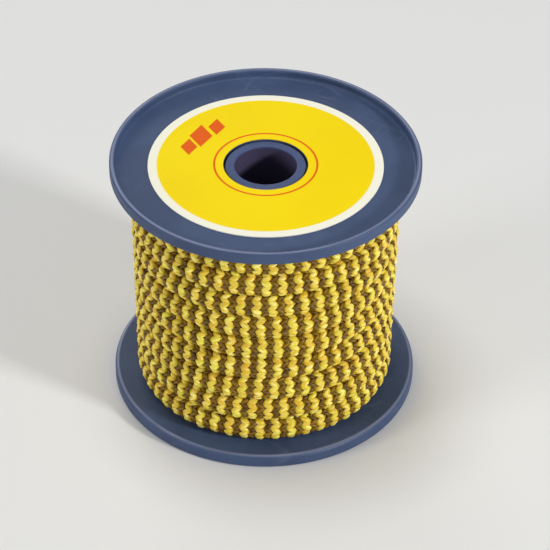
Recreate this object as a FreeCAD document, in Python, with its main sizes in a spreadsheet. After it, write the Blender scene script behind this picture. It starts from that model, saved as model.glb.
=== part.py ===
import FreeCAD, Part
import math
import os
import Sketcher

# A small moulded reel of braided cord, standing on end.
# Two equal flanges are pushed into the ends of a barrel, an arbor tube runs through both for the spindle,
# a ring label lies in the recess of the upper flange, and the cord is wound on the barrel in two layers.
# Millimetres. The reel's axis is Z, the origin is the middle of the foot ring, and the rear is +Y.

# Every size that can be set by itself: name, value, meaning.
DRIVING_SIZES = [
    ("bore_radius", 8.0, "hole for the spindle"),
    ("arbor_wall", 2.3, "wall of the arbor tube"),
    ("arbor_setback", 0.15, "the arbor's ends lie this far below the flange faces"),
    ("arbor_clearance", 0.15, "arbor to its sockets"),
    ("arbor_round", 0.3, "rounding of the arbor's end edges"),
    ("groove_width", 0.6, "ring groove between the arbor's end and the flange face"),
    ("groove_depth", 2.2, "depth of that groove"),
    ("socket_wall", 1.8, "flange socket round the arbor"),
    ("socket_depth", 8.0, "how far the socket stands into the barrel"),
    ("barrel_radius", 21.4, "outside of the barrel"),
    ("barrel_wall", 2.0, "wall of the barrel"),
    ("spigot_clearance", 0.2, "flange spigot to the inside of the barrel"),
    ("spigot_wall", 1.7, "wall of the spigot"),
    ("spigot_depth", 5.0, "how far the spigot stands into the barrel"),
    ("spigot_lead", 0.5, "chamfer that leads the spigot into the barrel"),
    ("rib_count", 6, "ribs between socket and spigot"),
    ("rib_thickness", 1.2, "thickness of a rib"),
    ("rib_height", 4.0, "height of a rib above the disc"),
    ("rib_root", 0.4, "how far a rib runs into the rings at its two ends"),
    ("flange_margin", 5.8, "how far the flanges stand out past the winding"),
    ("disc_thickness", 1.2, "disc of the flange"),
    ("lip_height", 2.3, "raised lip round the recessed outer face"),
    ("lip_width", 1.4, "width of the lip"),
    ("lip_round", 0.4, "rounding of the lip's two edges"),
    ("recess_round", 0.6, "fillet between the lip and the recessed face"),
    ("rim_round", 0.9, "rounding of the rim on the cord's side"),
    ("label_margin", 8.4, "bare face between the lip and the label"),
    ("label_thickness", 0.2, "paper and its adhesive"),
    ("cord_radius", 3.2, "half the diameter of the laid cord"),
    ("turns", 9, "turns side by side in the outer layer"),
    ("turn_gap", 0.46, "space between neighbouring turns"),
    ("low_gap", 0.35, "lowest turn to the lower flange"),
    ("top_gap", 1.77, "highest turn to the upper flange"),
    ("under_layers", 6.1, "thickness of the cord under the outer layer"),
    ("layer_gap", 0.3, "outer layer to the cord under it"),
    ("layer_fit", 0.15, "inside of the under layer to the barrel"),
    ("tuck_bend", 9.0, "bend where the cord dips into the layer below"),
    ("tuck_floor", 0.45, "least thickness of the under layer left beneath the dipping end"),
    ("tuck_clearance", 0.3, "room round the dipping end"),
    ("start_clearance", 0.35, "hole in the barrel round the cord's inner end"),
    ("knot_clearance", 0.3, "stopper knot to the arbor, the barrel and the socket"),
    ("knot_length", 13.0, "length of the stopper knot along the reel"),
    ("knot_width", 13.0, "width of the stopper knot round the reel"),
]

# Every size that follows from others: name, formula.
FOLLOWING_SIZES = [
    ("flange_depth", "Sizes.lip_height + Sizes.disc_thickness"),
    ("turn_pitch", "2 * Sizes.cord_radius + Sizes.turn_gap"),
    ("winding_height", "(Sizes.turns - 1) * Reel.turn_pitch + 2 * Sizes.cord_radius"),
    ("traverse", "Sizes.low_gap + Reel.winding_height + Sizes.top_gap"),
    ("reel_height", "2 * Reel.flange_depth + Reel.traverse"),
    ("winding_radius", "Sizes.barrel_radius + Sizes.under_layers + Sizes.layer_gap + Sizes.cord_radius"),
    ("flange_radius", "Reel.winding_radius + Sizes.cord_radius + Sizes.flange_margin"),
    ("lip_inside", "Reel.flange_radius - Sizes.lip_width"),
    ("arbor_radius", "Sizes.bore_radius + Sizes.arbor_wall"),
    ("arbor_length", "Reel.reel_height - 2 * Sizes.lip_height - 2 * Sizes.arbor_setback"),
    ("socket_bore", "Reel.arbor_radius + Sizes.arbor_clearance"),
    ("groove_radius", "Reel.arbor_radius + Sizes.groove_width"),
    ("groove_floor", "Sizes.lip_height + Sizes.groove_depth"),
    ("socket_radius", "Reel.groove_radius + Sizes.socket_wall"),
    ("socket_top", "Reel.flange_depth + Sizes.socket_depth"),
    ("barrel_inside", "Sizes.barrel_radius - Sizes.barrel_wall"),
    ("spigot_radius", "Reel.barrel_inside - Sizes.spigot_clearance"),
    ("spigot_inside", "Reel.spigot_radius - Sizes.spigot_wall"),
    ("spigot_top", "Reel.flange_depth + Sizes.spigot_depth"),
    ("rib_start", "Reel.socket_radius - Sizes.rib_root"),
    ("rib_end", "Reel.spigot_inside + Sizes.rib_root"),
    ("rib_half", "Sizes.rib_thickness / 2"),
    ("label_radius", "Reel.lip_inside - Sizes.label_margin"),
    ("under_inside", "Sizes.barrel_radius + Sizes.layer_fit"),
    ("under_radius", "Sizes.barrel_radius + Sizes.under_layers"),
    ("under_height", "Reel.traverse - 2 * Sizes.low_gap"),
    ("start_radius", "Sizes.cord_radius + Sizes.start_clearance"),
    ("fitting_depth", "max(Sizes.socket_depth; Sizes.spigot_depth)"),
    ("start_height", "Reel.fitting_depth + Sizes.knot_clearance + Sizes.knot_length / 2"),
    ("knot_centre", "(Reel.arbor_radius + Reel.barrel_inside) / 2"),
    ("knot_half", "(Reel.barrel_inside - Reel.arbor_radius) / 2 - Sizes.knot_clearance"),
]

UP = FreeCAD.Vector(0, 0, 1)
TOUCH = 0.001


def fill_sheet(doc):
    """Put the driving sizes in a sheet, one row each, with the name as the cell's alias."""
    sheet = doc.addObject("Spreadsheet::Sheet", "Sizes")
    for row, (name, number, meaning) in enumerate(DRIVING_SIZES, start=1):
        sheet.set(f"A{row}", name)
        sheet.set(f"B{row}", str(number))
        sheet.setAlias(f"B{row}", name)
        sheet.set(f"C{row}", meaning)
    return sheet


def add_following_sizes(doc):
    """Work out the sizes that follow from the sheet, as bound properties of one variable set."""
    reel = doc.addObject("App::VarSet", "Reel")
    for name, expression in FOLLOWING_SIZES:
        reel.addProperty("App::PropertyFloat", name, "Reel")
        reel.setExpression(name, expression)
    doc.recompute()
    return reel


DOC = FreeCAD.newDocument("cord_reel")
SHEET = fill_sheet(DOC)
REEL = add_following_sizes(DOC)
DRIVING_NAMES = [name for name, number, meaning in DRIVING_SIZES]


def size(name):
    """The present value of a named size."""
    return SHEET.get(name) if name in DRIVING_NAMES else getattr(REEL, name)


def formula(name):
    """The name of a size as a formula reads it."""
    return f"Sizes.{name}" if name in DRIVING_NAMES else f"Reel.{name}"


def add_body(label):
    """A new body; its label is the name of the sub-part."""
    body = DOC.addObject("PartDesign::Body", label)
    body.Label = label
    return body


def attach(sketch, body, role):
    """Lay a sketch on one of its own body's origin planes."""
    plane = [item for item in body.Origin.OriginFeatures if item.Role == role][0]
    sketch.AttachmentSupport = [(plane, "")]
    sketch.MapMode = "FlatFace"


def bind(sketch, kind, geometry, point, name):
    """Hold one coordinate of a sketched point at a named size, or on the axis if the name is None."""
    if name is None:
        axis = -2 if kind == "DistanceX" else -1
        sketch.addConstraint(Sketcher.Constraint("PointOnObject", geometry, point, axis))
        return
    index = sketch.addConstraint(Sketcher.Constraint(kind, geometry, point, size(name)))
    sketch.setExpression(f"Constraints[{index}]", formula(name))


def draw_outline(body, label, role, corners):
    """A closed sketch of straight lines; each corner is a pair of size names, or None for zero."""
    sketch = body.newObject("Sketcher::SketchObject", label)
    attach(sketch, body, role)
    points = []
    for across, up in corners:
        points.append(FreeCAD.Vector(size(across) if across else 0, size(up) if up else 0, 0))
    for start, end in zip(points, points[1:] + points[:1]):
        sketch.addGeometry(Part.LineSegment(start, end), False)
    for index, (across, up) in enumerate(corners):
        following = (index + 1) % len(corners)
        sketch.addConstraint(Sketcher.Constraint("Coincident", index, 2, following, 1))
        bind(sketch, "DistanceX", index, 1, across)
        bind(sketch, "DistanceY", index, 1, up)
    return sketch


def draw_circle(sketch, radius_name):
    """A circle about the sketch's origin."""
    index = sketch.addGeometry(Part.Circle(FreeCAD.Vector(0, 0, 0), UP, size(radius_name)), False)
    sketch.addConstraint(Sketcher.Constraint("Coincident", index, 3, -1, 1))
    radius = sketch.addConstraint(Sketcher.Constraint("Radius", index, size(radius_name)))
    sketch.setExpression(f"Constraints[{radius}]", formula(radius_name))


def add_ring(body, label, outer_name, inner_name, height_name):
    """A flat ring on the body's XY plane: two circles, padded upwards."""
    sketch = body.newObject("Sketcher::SketchObject", label + "_outline")
    attach(sketch, body, "XY_Plane")
    draw_circle(sketch, outer_name)
    draw_circle(sketch, inner_name)
    pad = body.newObject("PartDesign::Pad", label + "_pad")
    pad.Profile = sketch
    pad.setExpression("Length", formula(height_name))
    DOC.recompute()
    return pad


def ring_edges(feature, rings):
    """Names of the feature's round edges at each (radius, height)."""
    names = []
    for index, edge in enumerate(feature.Shape.Edges, start=1):
        if not isinstance(edge.Curve, Part.Circle):
            continue
        for radius, height in rings:
            if abs(edge.Curve.Radius - radius) < TOUCH and abs(edge.CenterOfMass.z - height) < TOUCH:
                names.append(f"Edge{index}")
    return names


def add_edge_feature(body, kind, label, base, rings, property_name, expression):
    """A fillet or chamfer on round edges, sized by a formula."""
    feature = body.newObject(f"PartDesign::{kind}", label)
    feature.Base = (base, ring_edges(base, rings))
    feature.setExpression(property_name, expression)
    DOC.recompute()
    return feature


def build_flange(label):
    """One flange as it lies on its lip: recessed disc, socket for the arbor, spigot for the barrel, ribs."""
    body = add_body(label)
    corners = [
        ("groove_radius", "lip_height"),
        ("lip_inside", "lip_height"),
        ("lip_inside", None),
        ("flange_radius", None),
        ("flange_radius", "flange_depth"),
        ("spigot_radius", "flange_depth"),
        ("spigot_radius", "spigot_top"),
        ("spigot_inside", "spigot_top"),
        ("spigot_inside", "flange_depth"),
        ("socket_radius", "flange_depth"),
        ("socket_radius", "socket_top"),
        ("socket_bore", "socket_top"),
        ("socket_bore", "groove_floor"),
        ("groove_radius", "groove_floor"),
    ]
    section = draw_outline(body, label + "_section", "XZ_Plane", corners)
    turned = body.newObject("PartDesign::Revolution", label + "_turned")
    turned.Profile = section
    turned.ReferenceAxis = (section, ["V_Axis"])
    turned.Angle = 360
    DOC.recompute()

    lip_edges = [(size("flange_radius"), 0), (size("lip_inside"), 0)]
    rounded = add_edge_feature(body, "Fillet", label + "_lip", turned, lip_edges, "Radius",
                               "min(Sizes.lip_round; 0.45 * Sizes.lip_width)")
    rim_edge = [(size("flange_radius"), size("flange_depth"))]
    rounded = add_edge_feature(body, "Fillet", label + "_rim", rounded, rim_edge, "Radius",
                               "min(Sizes.rim_round; 0.8 * Sizes.disc_thickness)")
    recess_edge = [(size("lip_inside"), size("lip_height"))]
    rounded = add_edge_feature(body, "Fillet", label + "_recess", rounded, recess_edge, "Radius",
                               "min(Sizes.recess_round; 0.5 * Sizes.lip_height)")
    spigot_edge = [(size("spigot_radius"), size("spigot_top"))]
    rounded = add_edge_feature(body, "Chamfer", label + "_lead", rounded, spigot_edge, "Size",
                               "min(Sizes.spigot_lead; 0.5 * Sizes.spigot_wall)")

    plan = body.newObject("Sketcher::SketchObject", label + "_rib_plan")
    attach(plan, body, "XY_Plane")
    plan.setExpression("AttachmentOffset.Base.z", "Reel.flange_depth")
    half = size("rib_half")
    spans = [("rib_start", -half), ("rib_end", -half), ("rib_end", half), ("rib_start", half)]
    points = [FreeCAD.Vector(size(name), offset, 0) for name, offset in spans]
    for start, end in zip(points, points[1:] + points[:1]):
        plan.addGeometry(Part.LineSegment(start, end), False)
    for index in range(4):
        plan.addConstraint(Sketcher.Constraint("Coincident", index, 2, (index + 1) % 4, 1))
    plan.addConstraint(Sketcher.Constraint("Symmetric", 0, 1, 2, 2, -1))
    plan.addConstraint(Sketcher.Constraint("Vertical", 1))
    plan.addConstraint(Sketcher.Constraint("Horizontal", 2))
    plan.addConstraint(Sketcher.Constraint("Horizontal", 0))
    bind(plan, "DistanceX", 0, 1, "rib_start")
    bind(plan, "DistanceX", 1, 1, "rib_end")
    bind(plan, "DistanceY", 2, 1, "rib_half")
    rib = body.newObject("PartDesign::Pad", label + "_rib")
    rib.Profile = plan
    rib.setExpression("Length", "min(Sizes.rib_height; Sizes.spigot_depth)")
    ribs = body.newObject("PartDesign::PolarPattern", label + "_ribs")
    ribs.Originals = [rib]
    ribs.Axis = (plan, ["N_Axis"])
    ribs.Angle = 360
    ribs.setExpression("Occurrences", "Sizes.rib_count")
    body.Tip = ribs
    DOC.recompute()
    return body


def build_flanges():
    """The lower flange stands on its lip; the upper one is the same moulding turned over."""
    lower = build_flange("lower_flange")
    upper = build_flange("upper_flange")
    upper.Placement = FreeCAD.Placement(FreeCAD.Vector(0, 0, size("reel_height")),
                                        FreeCAD.Rotation(FreeCAD.Vector(1, 0, 0), 180))
    upper.setExpression("Placement.Base.z", "Reel.reel_height")
    return [lower, upper]


def build_barrel():
    """The tube that carries the cord, with a hole in its rear wall for the cord's inner end."""
    body = add_body("barrel")
    add_ring(body, "barrel", "barrel_radius", "barrel_inside", "traverse")
    outline = body.newObject("Sketcher::SketchObject", "start_hole_outline")
    attach(outline, body, "XZ_Plane")
    centre = FreeCAD.Vector(0, size("start_height"), 0)
    hole = outline.addGeometry(Part.Circle(centre, UP, size("start_radius")), False)
    bind(outline, "DistanceX", hole, 3, None)
    bind(outline, "DistanceY", hole, 3, "start_height")
    radius = outline.addConstraint(Sketcher.Constraint("Radius", hole, size("start_radius")))
    outline.setExpression(f"Constraints[{radius}]", formula("start_radius"))
    uncut = body.Shape.Volume
    pocket = body.newObject("PartDesign::Pocket", "start_hole")
    pocket.Profile = outline
    pocket.setExpression("Length", "Sizes.barrel_radius")
    body.setExpression("Placement.Base.z", "Reel.flange_depth")
    DOC.recompute()
    print(f"start hole takes {uncut - body.Shape.Volume:.1f} mm3 out of the barrel")
    return body


def build_arbor():
    """The spindle tube, set back a little from both flange faces."""
    body = add_body("arbor_tube")
    tube = add_ring(body, "arbor_tube", "arbor_radius", "bore_radius", "arbor_length")
    length = size("arbor_length")
    ends = [(size(name), height) for name in ("bore_radius", "arbor_radius") for height in (0, length)]
    add_edge_feature(body, "Fillet", "arbor_tube_ends", tube, ends, "Radius",
                     "min(Sizes.arbor_round; 0.3 * Sizes.arbor_wall)")
    body.setExpression("Placement.Base.z", "Sizes.lip_height + Sizes.arbor_setback")
    return body


def build_label():
    """The paper ring stuck on the recessed face of the upper flange."""
    body = add_body("upper_label")
    add_ring(body, "upper_label", "label_radius", "groove_radius", "label_thickness")
    body.setExpression("Placement.Base.z", "Reel.reel_height - Sizes.lip_height")
    return body


def unit(angle):
    """The outward direction at an angle round the reel, in degrees anticlockwise from +X."""
    return FreeCAD.Vector(math.cos(math.radians(angle)), math.sin(math.radians(angle)), 0)


def cord_station(angle, height, slope):
    """A point of the outer layer's centre line and the cord's direction there; slope is rise over run."""
    point = unit(angle) * size("winding_radius") + UP * height
    heading = unit(angle + 90) + UP * slope
    return point, heading.normalize()


def biarc(start, end):
    """Two tangent arcs that join one station to the next."""
    (first, leaving), (last, arriving) = start, end
    chord = last - first
    both = leaving + arriving
    turning = 2 * (1 - leaving.dot(arriving))
    along = chord.dot(both)
    reach = (math.sqrt(along * along + turning * chord.dot(chord)) - along) / turning
    near = first + leaving * reach
    far = last - arriving * reach
    joint = (near + far) / 2
    return [arc_under(first, near, joint), arc_under(joint, far, last)]


def arc_under(start, apex, end):
    """The arc from start to end whose end tangents meet at the apex."""
    middle = (start + end) / 2
    half_chord = (end - start).Length / 2
    side = (apex - start).Length
    crown = middle + (apex - middle) * (half_chord / (side + half_chord))
    return Part.Arc(start, crown, end).toShape()


class Tuck:
    """Where an end of the outer layer leaves the winding and dips into the layer below, in its own level."""

    def __init__(self, angle, height, way):
        self.outward = unit(angle)
        self.along = unit(angle + 90) * way
        self.start = self.outward * size("winding_radius") + UP * height
        self.bend = size("tuck_bend")
        self.turn = math.radians(self.deepest_turn())

    def place(self, along, inward):
        return self.start + self.along * along - self.outward * inward

    def beside(self, offset, turn, straight=0):
        """A point beside the dipping path, offset towards the inside of the bend."""
        reach = self.bend - offset
        return self.place(reach * math.sin(turn) + straight * math.cos(turn),
                          self.bend - reach * math.cos(turn) + straight * math.sin(turn))

    def deepest_turn(self):
        """The largest turn, in whole degrees, that leaves the floor of cord over the barrel."""
        room = size("cord_radius") + size("tuck_clearance")
        for degrees in range(80, 0, -1):
            corner = self.beside(room, math.radians(degrees), 2 * size("cord_radius"))
            if math.hypot(corner.x, corner.y) > size("under_inside") + size("tuck_floor"):
                return degrees
        return 1

    def edges(self):
        """Out from the winding: an arc, then a straight end one cord diameter long."""
        bend_end = self.beside(0, self.turn)
        arc = Part.Arc(self.start, self.beside(0, self.turn / 2), bend_end)
        line = Part.LineSegment(bend_end, self.beside(0, self.turn, 2 * size("cord_radius")))
        return [arc.toShape(), line.toShape()]

    def pocket(self, low, high):
        """The room that the under layer leaves for the dipping end, open to the outside."""
        room = size("cord_radius") + size("tuck_clearance")
        clear = size("winding_radius")
        end = 2 * size("cord_radius")
        corners = [self.beside(room, 0), self.beside(room, self.turn), self.beside(room, self.turn, end),
                   self.beside(-clear, self.turn, end), self.place(0, -clear)]
        bend = Part.Arc(corners[0], self.beside(room, self.turn / 2), corners[1]).toShape()
        sides = [Part.LineSegment(a, b).toShape() for a, b in zip(corners[1:], corners[2:] + corners[:1])]
        face = Part.Face(Part.Wire([bend] + sides))
        face.translate(UP * (low - self.start.z))
        return face.extrude(UP * (high - low))


def turn_height(index):
    """Height of a turn's centre, counted from 0 at the lower flange."""
    return size("flange_depth") + size("low_gap") + size("cord_radius") + index * size("turn_pitch")


def build_tucks():
    """The tail at the lowest turn, and the climb from the layer below at the highest."""
    tail = Tuck(180, turn_height(0), -1)
    climb = Tuck(360, turn_height(size("turns") - 1), 1)
    return tail, climb


def winding_edges(tail, climb):
    """Each turn is level round the front and crosses to the next one round the rear."""
    turns = int(size("turns"))
    rise = size("turn_pitch") / 2
    quarter = math.pi * size("winding_radius") / 2
    slope = rise / (0.75 * quarter)
    stations = []
    for index in range(turns):
        height = turn_height(index)
        stations += [cord_station(angle, height, 0) for angle in (180, 270, 360)]
        if index < turns - 1:
            stations.append(cord_station(450, height + rise, slope))
    edges = tail.edges()[::-1]
    for start, end in zip(stations, stations[1:]):
        edges += biarc(start, end)
    return edges + climb.edges()


def least_gap(path, spacing):
    """Least distance between two stretches of the tube, from points along its centre line."""
    points = path.discretize(int(path.Length / spacing))
    apart = int(3 * size("turn_pitch") / spacing)
    nearest = path.Length
    for index, point in enumerate(points):
        for other in points[index + apart:]:
            nearest = min(nearest, point.distanceToPoint(other))
    return nearest - 2 * size("cord_radius")


def build_outer_layer(tail, climb):
    """The outer layer of cord as one unbroken tube."""
    path = Part.Wire(Part.__sortEdges__(winding_edges(tail, climb)))
    radius = size("cord_radius")
    tip = path.Edges[0]
    heading = tip.tangentAt(tip.FirstParameter)
    section = Part.Wire(Part.makeCircle(radius, tip.valueAt(tip.FirstParameter), heading))
    tube = path.makePipeShell([section], True, False)
    outer = DOC.addObject("Part::Feature", "cord_outer_layer")
    outer.Label = "cord_outer_layer"
    outer.Shape = tube
    expected = math.pi * radius ** 2 * path.Length
    print(f"outer layer: {path.Length:.0f} mm of cord, volume {tube.Volume / expected:.5f} of section times"
          f" length, least gap to itself {least_gap(path, 1.5):.2f} mm")
    return outer


def add_cylinder(label, radius_formula, height_formula, base_formula):
    """An upright cylinder on the reel's axis."""
    cylinder = DOC.addObject("Part::Cylinder", label)
    cylinder.setExpression("Radius", radius_formula)
    cylinder.setExpression("Height", height_formula)
    cylinder.setExpression("Placement.Base.z", base_formula)
    return cylinder


def add_cut(label, base, tool):
    """The base less the tool."""
    cut = DOC.addObject("Part::Cut", label)
    cut.Label = label
    cut.Base = base
    cut.Tool = tool
    return cut


def build_under_layer(tail, climb):
    """The cord under the outer layer as one sleeve, with room for the two dipping ends."""
    base = "Reel.flange_depth + Sizes.low_gap"
    outside = add_cylinder("under_outside", "Reel.under_radius", "Reel.under_height", base)
    inside = add_cylinder("under_inside", "Reel.under_inside", "Reel.under_height", base)
    sleeve = add_cut("under_sleeve", outside, inside)
    floor = size("flange_depth")
    ceiling = floor + size("traverse")
    room = size("cord_radius") + size("tuck_clearance")
    tail_room = DOC.addObject("Part::Feature", "tail_room")
    tail_room.Shape = tail.pocket(floor, tail.start.z + room)
    climb_room = DOC.addObject("Part::Feature", "climb_room")
    climb_room.Shape = climb.pocket(climb.start.z - room, ceiling)
    notched = add_cut("under_notched", sleeve, tail_room)
    return add_cut("cord_under_layer", notched, climb_room)


def build_inner_end():
    """The cord's inner end: through the hole in the barrel's rear wall to a stopper knot."""
    height = "Reel.flange_depth + Reel.start_height"
    stub = DOC.addObject("Part::Cylinder", "inner_stub")
    stub.Placement = FreeCAD.Placement(FreeCAD.Vector(0, 0, 0), FreeCAD.Rotation(UP.cross(unit(90)), 90))
    stub.setExpression("Radius", "Sizes.cord_radius")
    stub.setExpression("Height", "Sizes.barrel_radius - Reel.knot_centre")
    stub.setExpression("Placement.Base.y", "Reel.knot_centre")
    stub.setExpression("Placement.Base.z", height)
    knot = DOC.addObject("Part::Ellipsoid", "stopper_knot")
    knot.setExpression("Radius1", "Sizes.knot_length / 2")
    knot.setExpression("Radius2", "Sizes.knot_width / 2")
    knot.setExpression("Radius3", "Reel.knot_half")
    knot.setExpression("Placement.Base.y", "Reel.knot_centre")
    knot.setExpression("Placement.Base.z", height)
    inner_end = DOC.addObject("Part::Fuse", "cord_inner_end")
    inner_end.Label = "cord_inner_end"
    inner_end.Base = stub
    inner_end.Tool = knot
    return inner_end


def check_document(subparts):
    """Stop at any object that failed to compute, and at any sub-part that isn't one valid solid."""
    for item in DOC.Objects:
        if "Invalid" in item.State or "Error" in item.State:
            raise RuntimeError(f"{item.Label} failed: {item.State}")
    for item in subparts:
        shape = item.Shape
        if shape.isNull() or not shape.isValid() or len(shape.Solids) != 1:
            raise RuntimeError(f"{item.Label} isn't one valid solid")


def write_subparts(subparts):
    """Write each sub-part to parts/, named by its label."""
    os.makedirs("parts", exist_ok=True)
    for item in subparts:
        item.Shape.exportStep(f"parts/{item.Label}.step")
        box = item.Shape.optimalBoundingBox()
        print(f"{item.Label:18s} {item.Shape.Volume / 1000:8.2f} cm3"
              f"  {box.XLength:6.2f} x {box.YLength:6.2f} x {box.ZLength:6.2f}, base at {box.ZMin:6.2f}")


def main():
    tail, climb = build_tucks()
    subparts = build_flanges()
    subparts += [build_barrel(), build_arbor(), build_label()]
    subparts += [build_inner_end(), build_under_layer(tail, climb), build_outer_layer(tail, climb)]
    DOC.recompute()
    check_document(subparts)
    write_subparts(subparts)


main()
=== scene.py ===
# %% [markdown]
# # A small moulded reel of braided cord
# The reel stands on end: two moulded flanges on a barrel, a tube through the middle for a spindle,
# a yellow ring label in the upper recess, and braided cord wound on it in two layers.
# The rigid pieces come from the CAD model and keep their shape. Here they get their finish,
# and the cord, which the CAD model can only show as a plain tube, is braided from single yarns.

# %% The tools and the frame
import math

import bmesh
import bpy
import numpy as np
from mathutils import Matrix, Vector


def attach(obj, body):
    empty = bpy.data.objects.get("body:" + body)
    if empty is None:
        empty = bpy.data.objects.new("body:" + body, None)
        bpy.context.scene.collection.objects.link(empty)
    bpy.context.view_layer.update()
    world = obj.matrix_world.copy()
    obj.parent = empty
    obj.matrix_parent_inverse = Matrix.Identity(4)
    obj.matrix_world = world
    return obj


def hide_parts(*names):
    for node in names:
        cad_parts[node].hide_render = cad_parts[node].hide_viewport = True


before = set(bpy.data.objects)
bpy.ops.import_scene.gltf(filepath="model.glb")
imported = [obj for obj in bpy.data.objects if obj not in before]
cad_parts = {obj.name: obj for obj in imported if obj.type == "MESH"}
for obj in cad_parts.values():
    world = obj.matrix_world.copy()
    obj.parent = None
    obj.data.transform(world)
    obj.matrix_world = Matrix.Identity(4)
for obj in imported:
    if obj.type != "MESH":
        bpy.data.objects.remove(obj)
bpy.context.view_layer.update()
scene = bpy.context.scene
scene.view_settings.view_transform = "Standard"

# %% [markdown]
# ## The camera
# A long lens far away keeps the flanges' ellipses nearly parallel, as in the photograph. Its place,
# its turn and its focal length come from fitting the ellipses of the two rims and of the label.
# A camera looks along its own -Z, so its matrix is built from its right, its up and its backward direction.

# %% The camera
CAMERA_PLACE = Vector((0.0, -0.61914, 0.53124))
CAMERA_YAW, CAMERA_PITCH, CAMERA_ROLL = 0.0043, 0.6787, 0.0103
PHOTO_SIDE, FOCAL_PIXELS, SENSOR = 550, 3021.94, 36.0


def aim(yaw, pitch, roll):
    """The turn of a camera that looks towards +Y, yawed to the right, pitched down and rolled."""
    forward = Vector((math.sin(yaw) * math.cos(pitch), math.cos(yaw) * math.cos(pitch), -math.sin(pitch)))
    right = Vector((math.cos(yaw), -math.sin(yaw), 0))
    up = right.cross(forward)
    level = Matrix((right, up, -forward)).transposed()
    return level @ Matrix.Rotation(roll, 3, "Z")


camera_data = bpy.data.cameras.new("camera")
camera_data.sensor_width = SENSOR
camera_data.lens = FOCAL_PIXELS / PHOTO_SIDE * SENSOR
camera = bpy.data.objects.new("camera", camera_data)
camera.matrix_world = Matrix.Translation(CAMERA_PLACE) @ aim(CAMERA_YAW, CAMERA_PITCH, CAMERA_ROLL).to_4x4()
scene.collection.objects.link(camera)
scene.camera = camera
print(f"lens {camera_data.lens:.1f} mm")

# %% [markdown]
# ## The way of the cord
# The cord lies level round the front and crosses to the next turn round the rear. At both ends of the
# outer layer it dips into the layer below. A Bezier curve could be drawn by hand for this, but its turns are
# hard to keep even. So the way is a formula of the angle wound so far, and each turn can be checked against
# the barrel. The dense points that follow from it carry a frame of three directions: along the cord,
# outward, and upward. Everything on the cord is placed by that frame.

# %% The way of the cord
OUTER_RADIUS, UNDER_RADIUS = 0.0310, 0.0245
LOW_TURN, TURN_PITCH, TURNS = 0.00700, 0.00686, 9
FULL = 360.0
DIP = 40.0
SURFACES_AT, DIVES_AT = 180 - DIP, FULL * TURNS + DIP
UNDER_STRETCH = 345.0
FRONT_BULGE, SIDE_SPREAD = 0.0006, 0.0005
STEP = 0.25


def smooth(part):
    """A rise from 0 to 1 that starts and ends level."""
    part = np.clip(part, 0, 1)
    return part * part * (3 - 2 * part)


def cord_height(wound):
    """Height of the centre line after this many degrees: each turn rises in its rear half."""
    turns = np.clip(wound / FULL - 1, 0, TURNS - 1)
    whole = np.floor(turns)
    return LOW_TURN + TURN_PITCH * (whole + smooth(2 * (turns - whole)))


def cord_radius(wound):
    """Distance from the reel's axis: the outer layer, with a dip into the under layer at both ends.

    The winding isn't a perfect cylinder: it is fuller at the front, and away from there it widens upwards.
    """
    rise = smooth((wound - SURFACES_AT) / DIP)
    fall = smooth((wound - FULL * TURNS) / DIP)
    front = np.clip(-np.sin(np.radians(wound)), 0, 1) ** 2
    level = (cord_height(wound) - LOW_TURN) / (TURN_PITCH * (TURNS - 1))
    fuller = FRONT_BULGE * front + SIDE_SPREAD * (2 * level - 1) * (1 - front)
    return UNDER_RADIUS + (OUTER_RADIUS - UNDER_RADIUS + fuller) * (rise - fall)


def frames_along(wound, radius, height):
    """Length so far, place, outward and upward direction at each point of a way round the reel."""
    angle = np.radians(wound)
    place = np.stack([radius * np.cos(angle), radius * np.sin(angle), height], -1)
    heading = np.gradient(place, axis=0)
    heading /= np.linalg.norm(heading, axis=1)[:, None]
    outward = np.cross(heading, [0.0, 0.0, 1.0])
    outward /= np.linalg.norm(outward, axis=1)[:, None]
    upward = np.cross(outward, heading)
    gaps = np.linalg.norm(np.diff(place, axis=0), axis=1)
    length = np.concatenate([[0], np.cumsum(gaps)])
    return length, place, outward, upward


wound = np.arange(SURFACES_AT - UNDER_STRETCH, DIVES_AT + UNDER_STRETCH + STEP, STEP)
way_length, *way_tables = frames_along(wound, cord_radius(wound), cord_height(wound))
print(f"cord modelled in one length: {way_length[-1]:.3f} m")


def length_at(degrees):
    """Length along the cord where it has wound this many degrees."""
    return float(np.interp(degrees, wound, way_length))


def sample(lengths, table, length):
    """Rows of a table of places or directions, read at these lengths along its way."""
    return np.stack([np.interp(length, lengths, table[:, axis]) for axis in range(3)], -1)


# %% [markdown]
# ## The braid
# The real cord is a braided tube. The photograph is too coarse to count its yarns, but the zigzags suggest
# 32: 16 run round it one way and 16 the other, and each passes over two and under two. Yellow and brown
# yarns take turns, so the colours form zigzag rings. A bump in a material would leave the cord's outline
# smooth, so every yarn is a thin mesh tube of its own. The yellow ones are a little fuller and prouder.

# %% The braid's numbers
CARRIERS = 32
HALF = CARRIERS // 2
COLUMN = 2 * math.pi / HALF
ZIGZAGS_PER_TURN = 51.7
COLOUR_REPEAT = 2
FLOAT_LENGTH = 2 * math.pi * OUTER_RADIUS / ZIGZAGS_PER_TURN / COLOUR_REPEAT
LAY = FLOAT_LENGTH * HALF
RINGS_PER_WAVE = 8
RING_STEP = 2 * COLUMN / RINGS_PER_WAVE
RING_LENGTH = RING_STEP * LAY / (2 * math.pi)
MIDDLE, SWING = 0.00257, 0.00036
WAVE, WAVE_FLATTENER = 1.2, 0.2
YARN_HALF_WIDTH, YARN_HALF_THICKNESS = 0.00057, 0.00042
BRIGHT_FULLER, BRIGHT_PROUDER = 0.17, 0.00009
NARROW, WIDTH_SWELL, THICKNESS_SWELL = 0.90, 0.13, 0.08
CROWN = [(1.0, 0.0), (0.56, 0.80), (0.0, 1.0), (-0.56, 0.80), (-1.0, 0.0), (0.0, -1.0)]
TWIST_PER_METRE = 0.22 / OUTER_RADIUS
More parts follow.
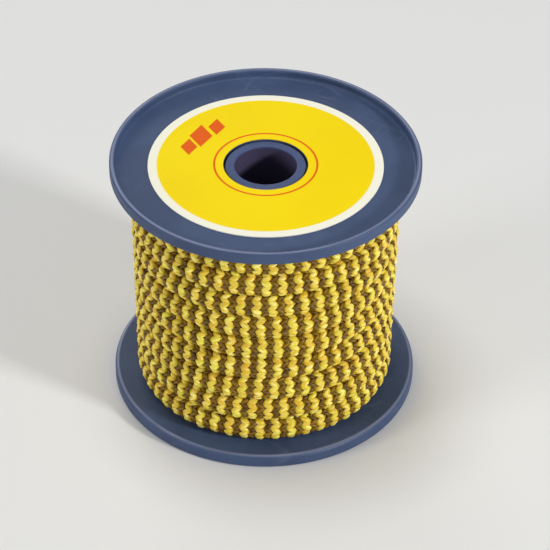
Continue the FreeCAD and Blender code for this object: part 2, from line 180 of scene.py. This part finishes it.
UNEVEN_TWIST = ((0.30, 37.0, 0.0), (0.22, 91.0, 1.3))
PRESSED_FLAT = 0.10
STITCHES = 4096
WIDTH_LUCK, THICKNESS_LUCK, PLACE_LUCK, REACH_LUCK = 0.06, 0.08, 0.018, 0.00004
TONE_LUCK = (0.17, 0.12)
luck = np.random.default_rng(11)
yarn_luck = luck.normal(size=(CARRIERS, STITCHES, 4))
print(f"lay {LAY * 1000:.1f} mm, one ring each {RING_LENGTH * 1000:.2f} mm")


# %% Laying the yarns
def braid_wave(angle):
    """The yarn's swing in and out: flat-topped, over two and under two."""
    beat = angle * CARRIERS / 4
    return WAVE * np.sin(beat) + WAVE_FLATTENER * np.sin(3 * beat)


def cord_twist(length):
    """How far the whole cord is turned about its own line: a steady twist and a slow unevenness."""
    uneven = sum(much * np.sin(length * often + start) for much, often, start in UNEVEN_TWIST)
    return TWIST_PER_METRE * length + uneven


def flattening(degrees):
    """The cord's thickness, out and in: it is pressed a little flatter in the under layer."""
    depth = (OUTER_RADIUS - cord_radius(degrees)) / (OUTER_RADIUS - UNDER_RADIUS)
    return 1 - PRESSED_FLAT * depth


def lay_yarns(side, ring, yarn):
    """Place each point of the flat drawing in the braid, and say how it is coloured."""
    hand = np.where(yarn < HALF, 1.0, -1.0)
    number = yarn % HALF
    turned = ring * RING_STEP
    around = hand * turned + number * COLUMN
    swing = hand * braid_wave(around)
    stitch = np.floor((turned / COLUMN + number) / 2).astype(int)
    chance = yarn_luck[yarn, stitch % STITCHES]
    across, thick = np.array(CROWN)[side % len(CROWN)].T
    dark = (number % COLOUR_REPEAT >= COLOUR_REPEAT / 2).astype(float)
    brightness = 1 - 2 * dark
    fuller = 1 + BRIGHT_FULLER * brightness
    width = NARROW + WIDTH_SWELL * swing + WIDTH_LUCK * chance[:, 0]
    thickness = 1 + THICKNESS_SWELL * swing + THICKNESS_LUCK * chance[:, 1]
    half_width = YARN_HALF_WIDTH * fuller * width
    half_thick = YARN_HALF_THICKNESS * (0.5 + 0.5 * fuller) * thickness
    slant = np.arctan2(2 * math.pi * MIDDLE, LAY)
    offset = across * half_width
    length = turned * LAY / (2 * math.pi) - hand * offset * np.sin(slant)
    around = around + offset * np.cos(slant) / MIDDLE + PLACE_LUCK * chance[:, 2] + cord_twist(length)
    middle_line = MIDDLE + SWING * swing + BRIGHT_PROUDER * brightness
    reach = middle_line + thick * half_thick + REACH_LUCK * chance[:, 3]
    place, outward, upward = [sample(way_length, table, length) for table in way_tables]
    out = reach * np.cos(around) * flattening(np.interp(length, way_length, wound))
    up = reach * np.sin(around)
    points = place + outward * out[:, None] + upward * up[:, None]
    tone = np.clip(0.5 + TONE_LUCK[0] * chance[:, 1] + TONE_LUCK[1] * chance[:, 3], 0, 1)
    return points, dark, tone, 0.5 + 0.5 * swing


# %% [markdown]
# ## From a flat drawing to a tube
# A tube along a way is first drawn flat with bmesh's grid operator: x counts the sides round the tube and y
# the steps along it. For the braid, z is the yarn's number, so that one drawing holds all 32 yarns. A
# bevelled curve would be quicker to write, but here each point keeps its three numbers, and from them a
# formula gives it its place, its colour and its tone. The drawing's own UV map stays too, as a strip per
# yarn. Last, the seam is merged, and the ends are closed.

# %% Helpers for tubes
MERGE = 1e-7
STRIP_MARGIN, END_MARGIN = 0.05, 0.005


def draw_strip(drawing, sides, steps, level=0, uvs=False):
    """A flat grid whose corners lie on whole numbers, from 0 to sides and from 0 to steps."""
    spot = Matrix.Translation((sides / 2, steps / 2, level)) @ Matrix.Diagonal((sides / 2, steps / 2, 1, 1))
    bmesh.ops.create_grid(drawing, x_segments=sides, y_segments=steps, size=1, matrix=spot, calc_uvs=uvs)


def finish_tube(tube, mesh, sides):
    """Merge the seam, smooth the faces, close both ends, turn all faces outwards and make it an object."""
    bmesh.ops.remove_doubles(tube, verts=tube.verts, dist=MERGE)
    for face in tube.faces:
        face.smooth = True
    rims = [edge for edge in tube.edges if edge.is_boundary]
    bmesh.ops.holes_fill(tube, edges=rims, sides=sides)
    bmesh.ops.recalc_face_normals(tube, faces=tube.faces)
    tube.to_mesh(mesh)
    tube.free()
    mesh.update()
    piece = bpy.data.objects.new(mesh.name, mesh)
    scene.collection.objects.link(piece)
    triangles = sum(len(face.vertices) - 2 for face in mesh.polygons)
    print(f"{piece.name}: {triangles} triangles")
    return piece


# %% A length of braided cord
def braid_cord(name, start, end):
    """One piece of braided cord between two lengths along its way, with both ends closed."""
    sides = len(CROWN)
    first, last = math.ceil(start / RING_LENGTH), math.ceil(end / RING_LENGTH)
    mesh = bpy.data.meshes.new(name)
    drawing = bmesh.new()
    drawing.loops.layers.uv.new("OFBake")
    for yarn in range(CARRIERS):
        draw_strip(drawing, sides, last - first, level=yarn, uvs=True)
    drawing.to_mesh(mesh)
    drawing.free()

    flat = np.empty(len(mesh.vertices) * 3)
    mesh.vertices.foreach_get("co", flat)
    side, ring, yarn = np.rint(flat.reshape(-1, 3)).astype(int).T
    points, dark, tone, proud = lay_yarns(side, ring + first, yarn)
    mesh.vertices.foreach_set("co", points.ravel())
    for label, values in (("dark_yarn", dark), ("stitch_tone", tone), ("proud", proud)):
        mesh.attributes.new(label, "FLOAT", "POINT").data.foreach_set("value", values)

    corner = np.empty(len(mesh.loops), dtype=int)
    mesh.loops.foreach_get("vertex_index", corner)
    bake = mesh.uv_layers["OFBake"].data
    strips = np.empty(len(mesh.loops) * 2)
    bake.foreach_get("uv", strips)
    strips = strips.reshape(-1, 2)
    strips[:, 0] = (yarn[corner] + STRIP_MARGIN + (1 - 2 * STRIP_MARGIN) * strips[:, 0]) / CARRIERS
    strips[:, 1] = END_MARGIN + (1 - 2 * END_MARGIN) * strips[:, 1]
    bake.foreach_set("uv", strips.ravel())

    tubes = bmesh.new()
    tubes.from_mesh(mesh)
    return finish_tube(tubes, mesh, sides)


# %% [markdown]
# ## The outer layer, turn by turn
# The cord is one length, but as one mesh it would be too heavy, so it is cut into a piece per turn. Every
# piece uses the same rings of the same braid, so neighbours meet exactly. Two stretches of the under layer
# show at the ends of the winding, where the outer layer dips in, and they are braided too.

# %% The outer layer
CLEAR_OF_END = 0.0005
outer_pieces = [braid_cord("cord_turn_1", length_at(SURFACES_AT), length_at(FULL))]
for turn in range(2, TURNS + 1):
    outer_pieces.append(braid_cord(f"cord_turn_{turn}", length_at(FULL * (turn - 1)), length_at(FULL * turn)))
outer_pieces.append(braid_cord("cord_climb", length_at(FULL * TURNS), length_at(DIVES_AT)))
under_ends = [braid_cord("cord_under_low", CLEAR_OF_END, length_at(SURFACES_AT)),
              braid_cord("cord_under_high", length_at(DIVES_AT), way_length[-1] - CLEAR_OF_END)]
print(f"outer layer: {length_at(DIVES_AT) - length_at(SURFACES_AT):.3f} m of cord")

# %% [markdown]
# ## The cord nobody sees
# Between the lowest and the highest turn the under layer is covered all over, and so is the knot that
# stops the cord's inner end inside the barrel. Braiding them too would only make the scene heavier, so these
# are plain tubes with few faces. Their job is to fill the place they have in the real reel.


# %% A plain tube
def plain_cord(name, way, radius, sides, steps):
    """A smooth closed tube along a way, pressed as flat as the braid is in the under layer."""
    mesh = bpy.data.meshes.new(name)
    tube = bmesh.new()
    draw_strip(tube, sides, steps)
    lengths, *tables = way
    for vert in tube.verts:
        turned = 2 * math.pi * round(vert.co.x) / sides
        length = lengths[-1] * vert.co.y / steps
        place, outward, upward = [sample(lengths, table, length) for table in tables]
        out = outward * math.cos(turned) * (1 - PRESSED_FLAT)
        vert.co = place + radius * (out + upward * math.sin(turned))
    return finish_tube(tube, mesh, sides)


# %% The rest of the under layer
UNDER_CORD, KNOT_CORD, STUB_CORD = 0.0033, 0.0017, 0.0031
MIDDLE_TURNS, MIDDLE_STEP = 7, 2.0
middle = np.arange(0, FULL * MIDDLE_TURNS, MIDDLE_STEP)
crossing = smooth((middle % FULL) / 180 - 1)
middle_height = LOW_TURN + TURN_PITCH * (MIDDLE_TURNS - np.floor(middle / FULL) - crossing)
middle_height = np.maximum(middle_height, LOW_TURN + TURN_PITCH)
middle_way = frames_along(middle, np.full(len(middle), UNDER_RADIUS), middle_height)
under_middle = plain_cord("cord_under_middle", middle_way, UNDER_CORD, sides=12, steps=900)
under_pieces = under_ends + [under_middle]
print(f"under layer between its ends: {middle_way[0][-1]:.3f} m of cord")

# %% The stopper knot and the stub that leads to it
KNOT_PLACE = np.array([0.0, 0.01485, 0.0183])
KNOT_LOOP, KNOT_FOLD, KNOT_DEPTH = 0.0030, 0.62, 0.0018
KNOT_POINTS, KNOT_GAP = 97, 8
STUB_FROM, STUB_TO, STUB_POINTS = 0.0150, 0.0226, 20
knot_turn = np.linspace(0, 2 * math.pi, KNOT_POINTS)[:-KNOT_GAP]
knot_points = KNOT_PLACE + np.stack([
    KNOT_LOOP * (np.sin(knot_turn) + KNOT_FOLD * np.sin(2 * knot_turn)),
    KNOT_DEPTH * np.sin(3 * knot_turn),
    KNOT_LOOP * (np.cos(knot_turn) - KNOT_FOLD * np.cos(2 * knot_turn))], -1)
heading = np.gradient(knot_points, axis=0)
heading /= np.linalg.norm(heading, axis=1)[:, None]
across = np.cross(heading, [0.0, 1.0, 0.0])
across /= np.linalg.norm(across, axis=1)[:, None]
knot_length = np.concatenate([[0], np.cumsum(np.linalg.norm(np.diff(knot_points, axis=0), axis=1))])
knot_way = (knot_length, knot_points, across, np.cross(across, heading))
knot = plain_cord("cord_knot", knot_way, KNOT_CORD, sides=10, steps=90)

stub_y = np.linspace(STUB_FROM, STUB_TO, STUB_POINTS)
stub_points = np.stack([np.zeros(STUB_POINTS), stub_y, np.full(STUB_POINTS, KNOT_PLACE[2])], -1)
sideways, upwards = [np.tile(direction, (STUB_POINTS, 1)) for direction in ([1.0, 0.0, 0.0], [0.0, 0.0, 1.0])]
stub_way = (stub_y - STUB_FROM, stub_points, sideways, upwards)
stub = plain_cord("cord_inner_stub", stub_way, STUB_CORD, sides=16, steps=12)
inner_pieces = [knot, stub]

# %% [markdown]
# ## Finishes
# Each finish is a Principled BSDF in a material of its own. What more than one of them needs, such as a
# fine grain or the faint marks of handling, is a small node group with named sockets.


# %% Helpers for nodes
def new_material(name):
    """An empty node material with its output and its Principled BSDF joined."""
    material = bpy.data.materials.new(name)
    material.use_nodes = True
    tree = material.node_tree
    tree.nodes.clear()
    output = tree.nodes.new("ShaderNodeOutputMaterial")
    shader = tree.nodes.new("ShaderNodeBsdfPrincipled")
    tree.links.new(shader.outputs["BSDF"], output.inputs["Surface"])
    return material, tree, shader


def fill_inputs(tree, made, inputs):
    """Set a node's inputs to numbers, or join them to other sockets."""
    for key, value in inputs.items():
        if isinstance(value, bpy.types.NodeSocket):
            tree.links.new(value, made.inputs[key])
        else:
            made.inputs[key].default_value = value


def node(tree, kind, inputs=None, **settings):
    """A node with its settings and its inputs."""
    made = tree.nodes.new("ShaderNode" + kind)
    for key, value in settings.items():
        setattr(made, key, value)
    fill_inputs(tree, made, inputs or {})
    return made


def maths(tree, operation, first, second=0.0):
    """The result socket of a Math node."""
    return node(tree, "Math", {0: first, 1: second}, operation=operation).outputs[0]


def blend_colours(tree, share, first, second, kind="MIX"):
    """The result socket of a colour Mix node."""
    mixer = node(tree, "Mix", {0: share, 6: first, 7: second}, data_type="RGBA", blend_type=kind)
    return mixer.outputs[2]


def window(tree, value, low, high, start=0.0, end=1.0):
    """A smooth ramp from start to end while the value goes from low to high."""
    levels = {"Value": value, "From Min": low, "From Max": high, "To Min": start, "To Max": end}
    return node(tree, "MapRange", levels, interpolation_type="SMOOTHSTEP").outputs["Result"]


# %% Helpers for finishes
def from_axis(tree, place):
    """The place taken apart, and its distance from the reel's axis."""
    apart = node(tree, "SeparateXYZ", {0: place})
    squares = [maths(tree, "POWER", apart.outputs[axis], 2.0) for axis in ("X", "Y")]
    return apart, maths(tree, "SQRT", maths(tree, "ADD", *squares))


def add_bump(tree, shader, height, strength, distance):
    """Fine relief on a shader's normal."""
    bump = node(tree, "Bump", {"Height": height, "Strength": strength, "Distance": distance})
    tree.links.new(bump.outputs["Normal"], shader.inputs["Normal"])


def add_roughness(tree, shader, least, spread, noise):
    """A roughness that varies with a noise."""
    rough = maths(tree, "ADD", least, maths(tree, "MULTIPLY", noise, spread))
    tree.links.new(rough, shader.inputs["Roughness"])


def srgb(red, green, blue):
    """A colour on the scale of 0 to 255 as Blender's linear one."""
    linear = [((c / 255 + 0.055) / 1.055) ** 2.4 if c > 10 else c / 255 / 12.92 for c in (red, green, blue)]
    return (*linear, 1.0)


# %% Helpers for groups
def new_group(name, where, numbers, outputs):
    """A node group with a vector input and number sockets; returns its tree, input node and output node."""
    tree = bpy.data.node_groups.new(name, "ShaderNodeTree")
    tree.interface.new_socket(where, in_out="INPUT", socket_type="NodeSocketVector")
    for label, value in numbers.items():
        socket = tree.interface.new_socket(label, in_out="INPUT", socket_type="NodeSocketFloat")
        socket.default_value = value
    for label in outputs:
        tree.interface.new_socket(label, in_out="OUTPUT", socket_type="NodeSocketFloat")
    return tree, tree.nodes.new("NodeGroupInput"), tree.nodes.new("NodeGroupOutput")


def use_group(tree, group, inputs):
    """Place a group in a material with values of its own."""
    made = tree.nodes.new("ShaderNodeGroup")
    made.node_tree = group
    fill_inputs(tree, made, inputs)
    return made


# %% Group: a fine uneven grain
grain_group, grain_in, grain_out = new_group("fine_grain", "Place", {"Fineness": 900.0, "Clouds": 60.0},
                                             ["Grain", "Cloud"])
grain_place = grain_in.outputs["Place"]
fine = node(grain_group, "TexNoise", {"Vector": grain_place, "Scale": grain_in.outputs["Fineness"],
                                      "Detail": 3.0, "Roughness": 0.6})
broad = node(grain_group, "TexNoise", {"Vector": grain_place, "Scale": grain_in.outputs["Clouds"],
                                       "Detail": 2.0})
grain_group.links.new(fine.outputs["Fac"], grain_out.inputs["Grain"])
grain_group.links.new(broad.outputs["Fac"], grain_out.inputs["Cloud"])
print(f"{grain_group.name}: {len(grain_group.nodes)} nodes")

# %% Group: thin random scratches
scratch_group, scratch_in, scratch_out = new_group("handling_scratches", "Place",
                                                   {"Spread": 150.0, "Turn": 0.6}, ["Scratch"])
scratch_place, spread = scratch_in.outputs["Place"], scratch_in.outputs["Spread"]
turned = node(scratch_group, "VectorRotate", {"Vector": scratch_place, "Angle": scratch_in.outputs["Turn"]},
              rotation_type="Z_AXIS")
drawn_out = node(scratch_group, "VectorMath", {0: turned.outputs["Vector"], 1: (1.0, 0.06, 1.0)},
                 operation="MULTIPLY")
lines = node(scratch_group, "TexVoronoi", {"Vector": drawn_out.outputs[0], "Scale": spread},
             feature="DISTANCE_TO_EDGE")
thin = window(scratch_group, lines.outputs["Distance"], 0.0, 0.02, 1.0, 0.0)
patches = node(scratch_group, "TexNoise", {"Vector": scratch_place, "Scale": 90.0, "Detail": 1.0})
patchy = window(scratch_group, patches.outputs["Fac"], 0.5, 0.62)
scratch_group.links.new(maths(scratch_group, "MULTIPLY", thin, patchy), scratch_out.inputs["Scratch"])
print(f"{scratch_group.name}: {len(scratch_group.nodes)} nodes")

# %% [markdown]
# ## The moulded plastic
# The flanges and the spindle tube are slate-blue plastic with a satin skin. Real mouldings are never one
# even colour: the skin has a fine grain, the colour drifts a little, and the lip is worn paler, with a
# painted highlight along it. The wear and the highlight follow the distance from the reel's axis, because
# the edges are circles about it. That needs no painting by hand, and it stays in place whatever the mesh.

# %% Moulded plastic
LIP_MIDDLE, LIP_WORN_HIGHLIGHT = 0.0393, 0.0006
ARBOR_RIM, ARBOR_WORN_HIGHLIGHT = 0.0103, 0.0003
BORE, BORE_SOFT = 0.0082, 0.0002
BORE_TOP = (0.0672, 0.0677)


def moulded_plastic(name, base, deep, worn_highlight_radii, painted_bore_shade=False):
    """Satin moulded plastic, worn paler with a painted highlight at these distances from the reel's axis, and
    with painted shade inside a bore.
    """
    material, tree, shader = new_material(name)
    place = node(tree, "TexCoord").outputs["Object"]
    grain = use_group(tree, grain_group, {"Place": place, "Fineness": 1400.0, "Clouds": 55.0})
    scratch = use_group(tree, scratch_group, {"Place": place, "Spread": 170.0, "Turn": 0.7})
    second = use_group(tree, scratch_group, {"Place": place, "Spread": 120.0, "Turn": 2.1})
    marks = maths(tree, "MAXIMUM", scratch.outputs["Scratch"], second.outputs["Scratch"])
    apart, axis_distance = from_axis(tree, place)
    # Wear and a painted highlight: a pale band at each of these radii, patchy with the clouds.
    wear_and_highlight = 0.0
    for radius, width in worn_highlight_radii:
        near = maths(tree, "ABSOLUTE", maths(tree, "SUBTRACT", axis_distance, radius))
        wear_and_highlight = maths(tree, "MAXIMUM", wear_and_highlight, window(tree, near, 0.0, width, 1.0, 0.0))
    wear_and_highlight = maths(tree, "MULTIPLY", wear_and_highlight, window(tree, grain.outputs["Cloud"], 0.3, 0.6, 0.55, 1.0))
    colour = blend_colours(tree, window(tree, grain.outputs["Cloud"], 0.35, 0.65), base, deep)
    colour = blend_colours(tree, maths(tree, "MULTIPLY", wear_and_highlight, 0.50), colour, srgb(168, 174, 204))
    colour = blend_colours(tree, maths(tree, "MULTIPLY", marks, 0.10), colour, srgb(140, 150, 180))
    # Painted shade: inside the bore, below its top, the colour is painted dark.
    if painted_bore_shade:
        inside = maths(tree, "MULTIPLY", window(tree, axis_distance, BORE, BORE + BORE_SOFT, 1.0, 0.0),
                       window(tree, apart.outputs["Z"], *BORE_TOP, 1.0, 0.0))
        colour = blend_colours(tree, maths(tree, "MULTIPLY", inside, 0.94), colour, srgb(74, 66, 92))
    tree.links.new(colour, shader.inputs["Base Color"])
    rough = maths(tree, "ADD", 0.42, maths(tree, "MULTIPLY", grain.outputs["Grain"], 0.14))
    rough = maths(tree, "SUBTRACT", rough, maths(tree, "MULTIPLY", wear_and_highlight, 0.08))
    tree.links.new(rough, shader.inputs["Roughness"])
    height = maths(tree, "SUBTRACT", grain.outputs["Grain"], maths(tree, "MULTIPLY", marks, 0.5))
    add_bump(tree, shader, height, 0.12, 0.0001)
    shader.inputs["Specular IOR Level"].default_value = 0.28
    print(f"{name}: {len(tree.nodes)} nodes")
    return material


flange_finish = moulded_plastic("flange_plastic", srgb(69, 86, 120), srgb(61, 77, 110),
                                [(LIP_MIDDLE, LIP_WORN_HIGHLIGHT)])
arbor_finish = moulded_plastic("arbor_plastic", srgb(74, 88, 130), srgb(66, 80, 118),
                               [(ARBOR_RIM, ARBOR_WORN_HIGHLIGHT)], painted_bore_shade=True)
barrel_finish = moulded_plastic("barrel_plastic", srgb(64, 78, 106), srgb(56, 70, 98), [])

# %% [markdown]
# ## The printed label
# A paper ring with a coated face: a white border, a yellow field, and a plain ornament in orange red. An
# image texture could carry the print. Here it is worked out from the distance to the axis and, for each
# lozenge, to its own middle, all on Object coordinates, so it needs no picture and has no pixels.
# The paper's cut edge stays pale.

# %% Printed label
INK_YELLOW, INK_RED, PAPER = srgb(255, 226, 2), srgb(232, 74, 18), srgb(252, 250, 230)
INK_DRIFT, CUT_PAPER = srgb(253, 221, 0), srgb(232, 230, 220)
FIELD_EDGE, PAPER_EDGE = (0.0277, 0.0281), (0.03012, 0.03018)
RING_RADIUS, RING_EDGE = 0.0132, (0.00020, 0.00034)
LOZENGES = ((-0.0168, 0.0120, 0.0030), (-0.0128, 0.0160, 0.0022), (-0.0198, 0.0072, 0.0022))
LOZENGE_LONG, LOZENGE_SOFT = 0.62, 0.06

label_finish, tree, shader = new_material("printed_label")
place = node(tree, "TexCoord").outputs["Object"]
apart, axis_distance = from_axis(tree, place)
grain = use_group(tree, grain_group, {"Place": place, "Fineness": 1600.0, "Clouds": 40.0})
field = window(tree, axis_distance, *FIELD_EDGE, 1.0, 0.0)
yellow = blend_colours(tree, window(tree, grain.outputs["Cloud"], 0.3, 0.7), INK_YELLOW, INK_DRIFT)
colour = blend_colours(tree, field, PAPER, yellow)
from_ring = maths(tree, "ABSOLUTE", maths(tree, "SUBTRACT", axis_distance, RING_RADIUS))
ornament = window(tree, from_ring, *RING_EDGE, 1.0, 0.0)
for middle_x, middle_y, size in LOZENGES:
    from_x = maths(tree, "ABSOLUTE", maths(tree, "SUBTRACT", apart.outputs["X"], middle_x))
    from_y = maths(tree, "ABSOLUTE", maths(tree, "SUBTRACT", apart.outputs["Y"], middle_y))
    lozenge = maths(tree, "ADD", from_x, maths(tree, "MULTIPLY", from_y, LOZENGE_LONG))
    solid = window(tree, lozenge, size * (1 - LOZENGE_SOFT), size * (1 + LOZENGE_SOFT), 1.0, 0.0)
    ornament = maths(tree, "MAXIMUM", ornament, solid)
colour = blend_colours(tree, maths(tree, "MULTIPLY", ornament, 0.92), colour, INK_RED)
colour = blend_colours(tree, window(tree, axis_distance, *PAPER_EDGE), colour, CUT_PAPER)
tree.links.new(colour, shader.inputs["Base Color"])
add_roughness(tree, shader, 0.34, 0.16, grain.outputs["Grain"])
add_bump(tree, shader, grain.outputs["Grain"], 0.05, 0.0001)
shader.inputs["Specular IOR Level"].default_value = 0.10
print(f"{label_finish.name}: {len(tree.nodes)} nodes")

# %% [markdown]
# ## The yarn
# Each yarn is a flat bundle of shiny fibres. A material for each colour would do, but one is enough here: the
# dark and the bright yarns differ by an attribute that was stored with the mesh. A second one gives each
# stitch its own tone, and a third says how proud of the surface the yarn lies, so that shade is painted
# darker where it dives under. The fibres run along the yarn: they are a noise drawn out along the mesh's own
# UV strips, and the same noise paints pale cream highlights on some of the yellow where it lies proudest.

# %% Group: fibres along a yarn
fibre_group, fibre_in, fibre_out = new_group("yarn_fibres", "Strip", {"Across": 700.0, "Along": 120.0},
                                             ["Fibre", "Streak"])
stretch = node(fibre_group, "CombineXYZ", {"X": fibre_in.outputs["Across"], "Y": fibre_in.outputs["Along"]})
drawn = node(fibre_group, "VectorMath", {0: fibre_in.outputs["Strip"], 1: stretch.outputs[0]},
             operation="MULTIPLY")
thread = node(fibre_group, "TexNoise", {"Vector": drawn.outputs[0], "Scale": 1.0, "Detail": 2.0})
streak = node(fibre_group, "TexNoise", {"Vector": drawn.outputs[0], "Scale": 0.3, "Detail": 1.0})
fibre_group.links.new(thread.outputs["Fac"], fibre_out.inputs["Fibre"])
fibre_group.links.new(streak.outputs["Fac"], fibre_out.inputs["Streak"])
print(f"{fibre_group.name}: {len(fibre_group.nodes)} nodes")

# %% Braided cord
cord_finish, tree, shader = new_material("braided_polyester")
strip = node(tree, "UVMap", uv_map="OFBake").outputs["UV"]
fibres = use_group(tree, fibre_group, {"Strip": strip, "Across": 500.0, "Along": 160.0})
dark_yarn, tone, proud = [node(tree, "Attribute", attribute_name=name).outputs["Fac"]
                          for name in ("dark_yarn", "stitch_tone", "proud")]
bright = blend_colours(tree, tone, srgb(246, 190, 14), srgb(255, 238, 66))
# Painted highlight: pale cream streaks on the yellow where the yarn lies proudest.
painted_highlight = maths(tree, "MULTIPLY", window(tree, fibres.outputs["Streak"], 0.46, 0.66, 0.10, 0.75),
                 window(tree, proud, 0.70, 0.95))
bright = blend_colours(tree, painted_highlight, bright, srgb(255, 246, 148))
brown = blend_colours(tree, tone, srgb(92, 60, 0), srgb(152, 116, 12))
colour = blend_colours(tree, dark_yarn, bright, brown)
# Painted shade: the yarn is painted darker where it dives under, and the darkening is streaked along it.
shaded = window(tree, proud, 0.05, 0.80, 0.36, 1.0)
streaked_painted_shade = maths(tree, "MULTIPLY", shaded, window(tree, fibres.outputs["Streak"], 0.3, 0.7, 0.82, 1.06))
streaked_shade_colour = node(tree, "CombineColor", {0: streaked_painted_shade, 1: streaked_painted_shade, 2: streaked_painted_shade}).outputs[0]
tree.links.new(blend_colours(tree, 1.0, colour, streaked_shade_colour, "MULTIPLY"), shader.inputs["Base Color"])
add_roughness(tree, shader, 0.32, 0.2, fibres.outputs["Fibre"])
add_bump(tree, shader, fibres.outputs["Fibre"], 0.35, 0.00006)
shader.inputs["Specular IOR Level"].default_value = 0.38
shader.inputs["Sheen Weight"].default_value = 0.03
shader.inputs["Sheen Roughness"].default_value = 0.4
print(f"{cord_finish.name}: {len(tree.nodes)} nodes")

# %% Hidden cord's finish
plain_finish, tree, shader = new_material("hidden_cord")
place = node(tree, "TexCoord").outputs["Object"]
grain = use_group(tree, grain_group, {"Place": place, "Fineness": 900.0, "Clouds": 420.0})
mottled = window(tree, grain.outputs["Cloud"], 0.42, 0.58)
colour = blend_colours(tree, mottled, srgb(214, 172, 48), srgb(104, 74, 16))
tree.links.new(colour, shader.inputs["Base Color"])
add_roughness(tree, shader, 0.5, 0.3, grain.outputs["Grain"])
add_bump(tree, shader, grain.outputs["Grain"], 0.4, 0.0002)
print(f"{plain_finish.name}: {len(tree.nodes)} nodes")

# %% [markdown]
# ## Each piece gets its finish
# The new pieces have no material yet, and get one slot each. A CAD node came with a plain material in its
# slots. It could be copied and dressed again, but it is enough to fill those slots, and it keeps its mesh.


# %% Each piece gets its finish
def finish_piece(obj, material):
    """Give a new piece its one material."""
    obj.data.materials.clear()
    obj.data.materials.append(material)


def finish_node(name, material):
    """A CAD node keeps its mesh and gets a better material in its own slots."""
    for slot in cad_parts[name].material_slots:
        slot.material = material


for piece in outer_pieces + under_ends:
    finish_piece(piece, cord_finish)
for piece in [under_middle] + inner_pieces:
    finish_piece(piece, plain_finish)
node_finishes = {"lower_flange": flange_finish, "upper_flange": flange_finish, "arbor_tube": arbor_finish,
                 "barrel": barrel_finish, "upper_label": label_finish}
for name, material in node_finishes.items():
    finish_node(name, material)
new_pieces = outer_pieces + under_pieces + inner_pieces
print(f"{len(new_pieces)} new pieces and {len(node_finishes)} CAD nodes finished")

# %% [markdown]
# ## The stage
# A plain pale floor and four soft lamps: a key from the right, a fill from the left, one above and one
# behind. One picture of a studio as the world would be quicker, but lamps can be moved one at a time.
# The floor is wide enough to fill the view from above. The world lights the reel softly and evenly, and
# where the camera sees it past the floor's edge it is shown paler than it lights.

# %% The floor
FLOOR_HALF, FLOOR_HEIGHT = 3.0, -0.0001
floor_mesh = bpy.data.meshes.new("floor")
sheet = bmesh.new()
bmesh.ops.create_grid(sheet, x_segments=1, y_segments=1, size=FLOOR_HALF,
                      matrix=Matrix.Translation((0, 0, FLOOR_HEIGHT)))
sheet.to_mesh(floor_mesh)
sheet.free()
floor = bpy.data.objects.new("floor", floor_mesh)
scene.collection.objects.link(floor)
floor_finish, tree, shader = new_material("studio_floor")
shader.inputs["Base Color"].default_value = (0.80, 0.80, 0.79, 1)
shader.inputs["Roughness"].default_value = 0.9
shader.inputs["Specular IOR Level"].default_value = 0.1
finish_piece(floor, floor_finish)
print(f"floor {2 * FLOOR_HALF} m wide")

# %% The lamps and the world
LAMPS = (("key", (0.84, -0.52, 0.44), 0.14, 7.3), ("fill", (-0.85, -0.40, 0.30), 0.3, 3.2),
         ("top", (-0.10, 0.12, 1.00), 0.4, 3.6), ("back", (-0.30, 0.95, 0.28), 0.5, 2.8))
LAMPS_FACE = Vector((0, 0, 0.035))
WORLD_LIGHTS, WORLD_SHOWS = 0.20, 0.70


def soft_lamp(name, place, size, power):
    """A square lamp that faces the reel."""
    data = bpy.data.lights.new(name, "AREA")
    data.size = size
    data.energy = power
    lamp = bpy.data.objects.new(name, data)
    lamp.location = place
    lamp.rotation_euler = (LAMPS_FACE - Vector(place)).to_track_quat("-Z", "Y").to_euler()
    scene.collection.objects.link(lamp)


for name, place, size, power in LAMPS:
    soft_lamp(name, place, size, power)
world = bpy.data.worlds.new("studio")
world.use_nodes = True
backdrop = world.node_tree.nodes["Background"]
backdrop.inputs["Color"].default_value = (1, 1, 1, 1)
seen = node(world.node_tree, "LightPath").outputs["Is Camera Ray"]
strength = node(world.node_tree, "MapRange", {"Value": seen, "To Min": WORLD_LIGHTS, "To Max": WORLD_SHOWS})
world.node_tree.links.new(strength.outputs["Result"], backdrop.inputs["Strength"])
scene.world = world
print(f"{len(LAMPS)} lamps, {sum(lamp[3] for lamp in LAMPS):.1f} W in all")

# %% [markdown]
# ## Joining the frame
# Nothing moves on the reel itself, so every new piece rides on its one body, and the CAD node that each
# group of pieces stands for is hidden.

# %% Joining the frame
for pieces, stood_for in ((outer_pieces, "cord_outer_layer"), (under_pieces, "cord_under_layer"),
                          (inner_pieces, "cord_inner_end")):
    for piece in pieces:
        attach(piece, "root")
        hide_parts(stood_for)
    print(f"{len(pieces)} pieces stand for {stood_for}")

# %% Updating the view layer
bpy.context.view_layer.update()
